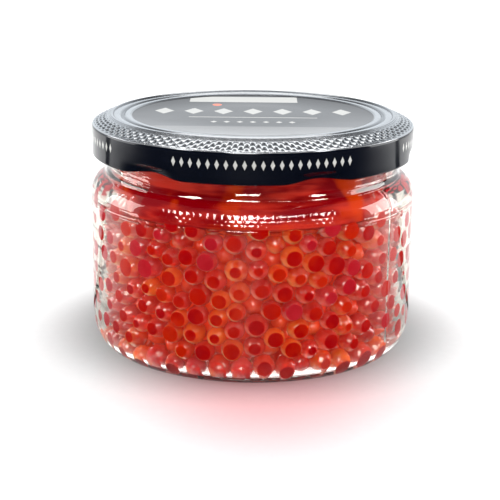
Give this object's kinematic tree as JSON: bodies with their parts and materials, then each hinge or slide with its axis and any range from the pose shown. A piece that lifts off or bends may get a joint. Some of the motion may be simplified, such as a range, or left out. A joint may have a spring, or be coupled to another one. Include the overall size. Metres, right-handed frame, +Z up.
{
  "type": "jar of salmon roe",
  "caption": "Low wide clear glass jar packed full of red salmon roe, shut by a shallow twist-off metal lid with a knurled silver edge and a dark navy skirt.",
  "frame": {"origin": "centre of the jar's footprint, on the surface that it stands on", "axes": "+Z up along the jar's axis, -Y towards the viewer of the picture, +X to the viewer's right"},
  "size_m": [0.087, 0.087, 0.0623],
  "materials": {
    "clear_glass": "smooth clear flint glass, glossy",
    "lid_lacquer": "glossy dark navy lacquer on tinplate, bare silver on the knurled edge",
    "salmon_roe": "wet translucent red-orange pearls"
  },
  "bodies": {
    "root": {"jar": "clear_glass", "lid": "lid_lacquer", "roe": "salmon_roe"}
  },
  "joints": []
}
